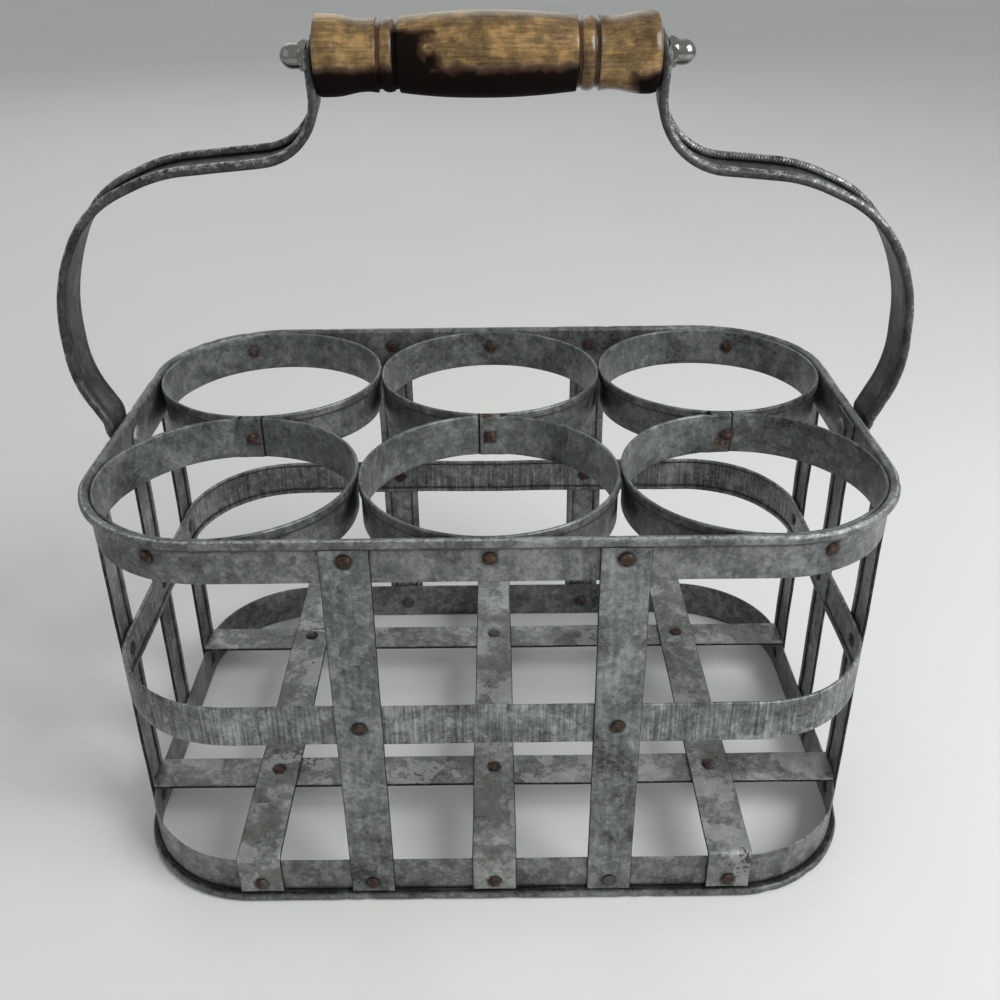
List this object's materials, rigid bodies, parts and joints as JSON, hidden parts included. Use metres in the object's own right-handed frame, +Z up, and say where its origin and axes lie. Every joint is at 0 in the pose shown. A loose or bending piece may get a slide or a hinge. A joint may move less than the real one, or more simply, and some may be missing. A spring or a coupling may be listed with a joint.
{
  "type": "bottle carrier",
  "caption": "Riveted galvanised strap carrier with round bottle cells, a swinging strap handle and a turned wooden grip.",
  "frame": {"origin": "centre of the underside, on the surface that the base bead stands on", "axes": "+X to the right along the long side and the handle's pivot line, +Y to the back, +Z up"},
  "size_m": [0.3551, 0.2184, 0.3456],
  "materials": {
    "band_steel": "spangled zinc coat, dull",
    "ring_steel": "spangled zinc coat, dull",
    "strap_steel": "spangled zinc coat, dull",
    "floor_steel": "worn zinc coat, dusty",
    "handle_steel": "zinc coat, worn on the ridges",
    "hidden_wire": "plain drawn wire",
    "rusted_rivet": "brown rust",
    "bright_steel": "bright nickel plate",
    "turned_wood": "varnished, scorched dark in places"
  },
  "bodies": {
    "basket": {"rim_band": "band_steel", "rim_wire": "hidden_wire", "middle_band": "band_steel", "base_band": "band_steel", "base_wire": "hidden_wire", "ring_front_left": "ring_steel", "ring_front_middle": "ring_steel", "ring_front_right": "ring_steel", "ring_back_left": "ring_steel", "ring_back_middle": "ring_steel", "ring_back_right": "ring_steel", "front_strap_left": "strap_steel", "front_strap_right": "strap_steel", "back_strap_left": "strap_steel", "back_strap_right": "strap_steel", "left_strap_front": "strap_steel", "left_strap_centre": "strap_steel", "left_strap_back": "strap_steel", "right_strap_front": "strap_steel", "right_strap_centre": "strap_steel", "right_strap_back": "strap_steel", "floor_strap_left": "floor_steel", "floor_strap_middle": "floor_steel", "floor_strap_right": "floor_steel", "cross_strap_front": "floor_steel", "cross_strap_back": "floor_steel", "ring_to_rim_rivets": "rusted_rivet", "strap_to_rim_rivets": "rusted_rivet", "ring_seam_rivets": "rusted_rivet", "middle_band_rivets": "rusted_rivet", "base_band_rivets": "rusted_rivet", "floor_end_rivets": "rusted_rivet", "floor_crossing_rivets": "rusted_rivet", "pivot_rivet_left": "rusted_rivet", "pivot_rivet_right": "rusted_rivet", "pivot_spacer_left": "strap_steel", "pivot_spacer_right": "strap_steel"},
    "handle": {"handle_strap_left": "handle_steel", "handle_strap_right": "handle_steel", "handle_rod": "bright_steel", "grip_washer_left": "bright_steel", "grip_washer_right": "bright_steel", "acorn_nut_left": "bright_steel", "acorn_nut_right": "bright_steel"},
    "grip": {"wood_grip": "turned_wood"}
  },
  "joints": [
    {"name": "handle_swing", "type": "hinge", "parent": "basket", "child": "handle", "pos_m": [0, 0, 0.1725], "axis": [1, 0, 0], "range_deg": [-105, 105]},
    {"name": "grip_spin", "type": "hinge", "parent": "handle", "child": "grip", "pos_m": [0, 0, 0.3301], "axis": [1, 0, 0], "continuous": true}
  ]
}
